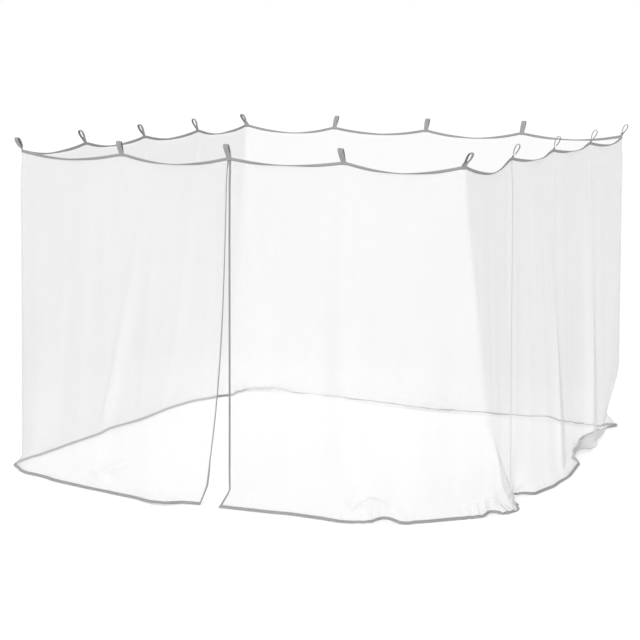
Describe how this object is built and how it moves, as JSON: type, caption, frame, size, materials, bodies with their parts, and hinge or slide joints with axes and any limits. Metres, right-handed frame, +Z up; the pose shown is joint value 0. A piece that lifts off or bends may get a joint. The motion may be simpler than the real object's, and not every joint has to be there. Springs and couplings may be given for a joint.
{
  "type": "outdoor mosquito net",
  "caption": "White netting walls for a square gazebo, hung by grey tape loops along the rim, open at the top and at the front middle, with the hem lying loose on the floor.",
  "frame": {"origin": "middle of the rim, at the height where the hanging loops are sewn on", "axes": "+X to the right along the front wall, +Y from the front wall with the opening to the back wall, +Z up"},
  "size_m": [3.4186, 3.3864, 2.1816],
  "materials": {
    "netting": "fine white knitted netting, matt and see-through",
    "tape": "grey woven polyester tape, matt"
  },
  "bodies": {
    "root": {"net_long": "netting", "net_short": "netting", "rim_binding": "tape", "hem_binding": "tape", "opening_binding_left": "tape", "opening_binding_right": "tape", "loop_01": "tape", "loop_02": "tape", "loop_03": "tape", "loop_04": "tape", "loop_05": "tape", "loop_06": "tape", "loop_07": "tape", "loop_08": "tape", "loop_09": "tape", "loop_10": "tape", "loop_11": "tape", "loop_12": "tape", "loop_13": "tape", "loop_14": "tape", "loop_15": "tape", "loop_16": "tape"}
  },
  "joints": []
}
